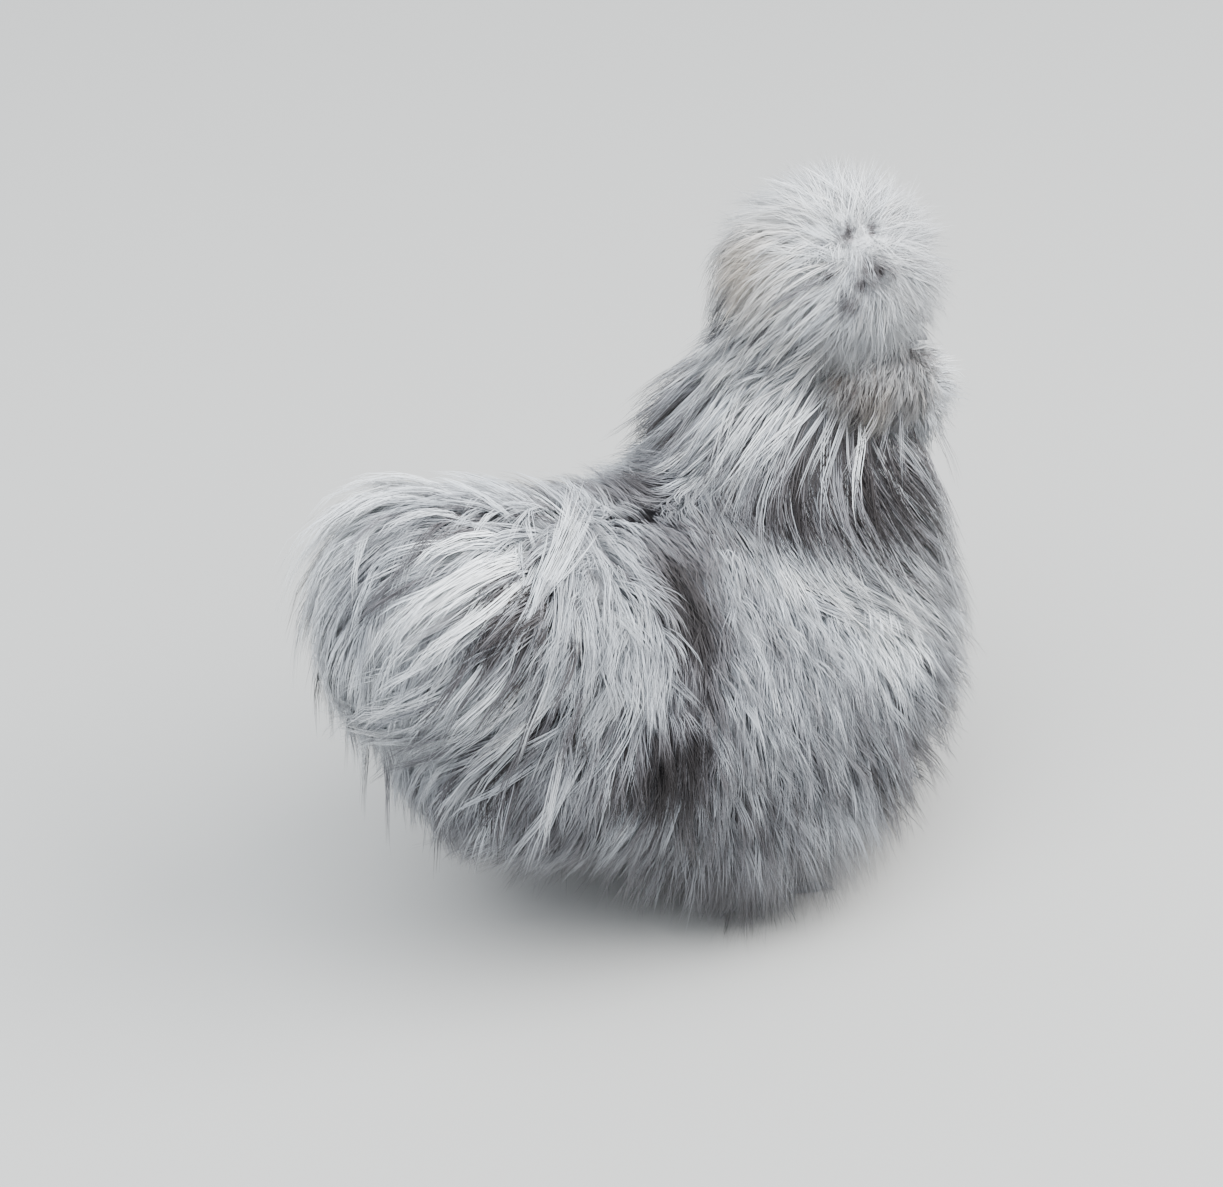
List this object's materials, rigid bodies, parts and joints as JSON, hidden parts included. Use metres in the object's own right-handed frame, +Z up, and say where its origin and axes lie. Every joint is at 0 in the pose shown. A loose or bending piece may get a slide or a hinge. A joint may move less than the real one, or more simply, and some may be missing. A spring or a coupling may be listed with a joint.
{
  "type": "silkie chicken",
  "caption": "Life-size standing bearded silkie cockerel with a round crest, hair-like hackle and saddle, soft tail and five-toed feathered feet.",
  "frame": {"origin": "on the floor under the middle of the bird's bounding box", "axes": "+X the way the body faces, +Y the bird's left side, +Z up"},
  "size_m": [0.3618, 0.245, 0.3645],
  "materials": {
    "plumage": "soft hair-like grey and white feathers",
    "face_skin": "dark mulberry skin",
    "comb_skin": "dark pebbled skin",
    "earlobe": "smooth pale turquoise skin",
    "bill": "slate horn",
    "eye": "wet black",
    "leg_skin": "slate blue scaled skin"
  },
  "bodies": {
    "root": {"eye_right": "eye", "eye_left": "eye", "bill_upper": "bill", "bill_lower": "bill", "comb": "comb_skin", "earlobe_right": "earlobe", "earlobe_left": "earlobe", "wattle_right": "comb_skin", "wattle_left": "comb_skin", "head": "face_skin", "foot_right": "leg_skin", "foot_left": "leg_skin", "crest": "plumage", "muff_right": "plumage", "muff_left": "plumage", "beard": "plumage", "neck": "plumage", "torso": "plumage", "saddle": "plumage", "tail": "plumage", "wing_right": "plumage", "wing_left": "plumage", "thigh_right": "plumage", "thigh_left": "plumage"}
  },
  "joints": []
}
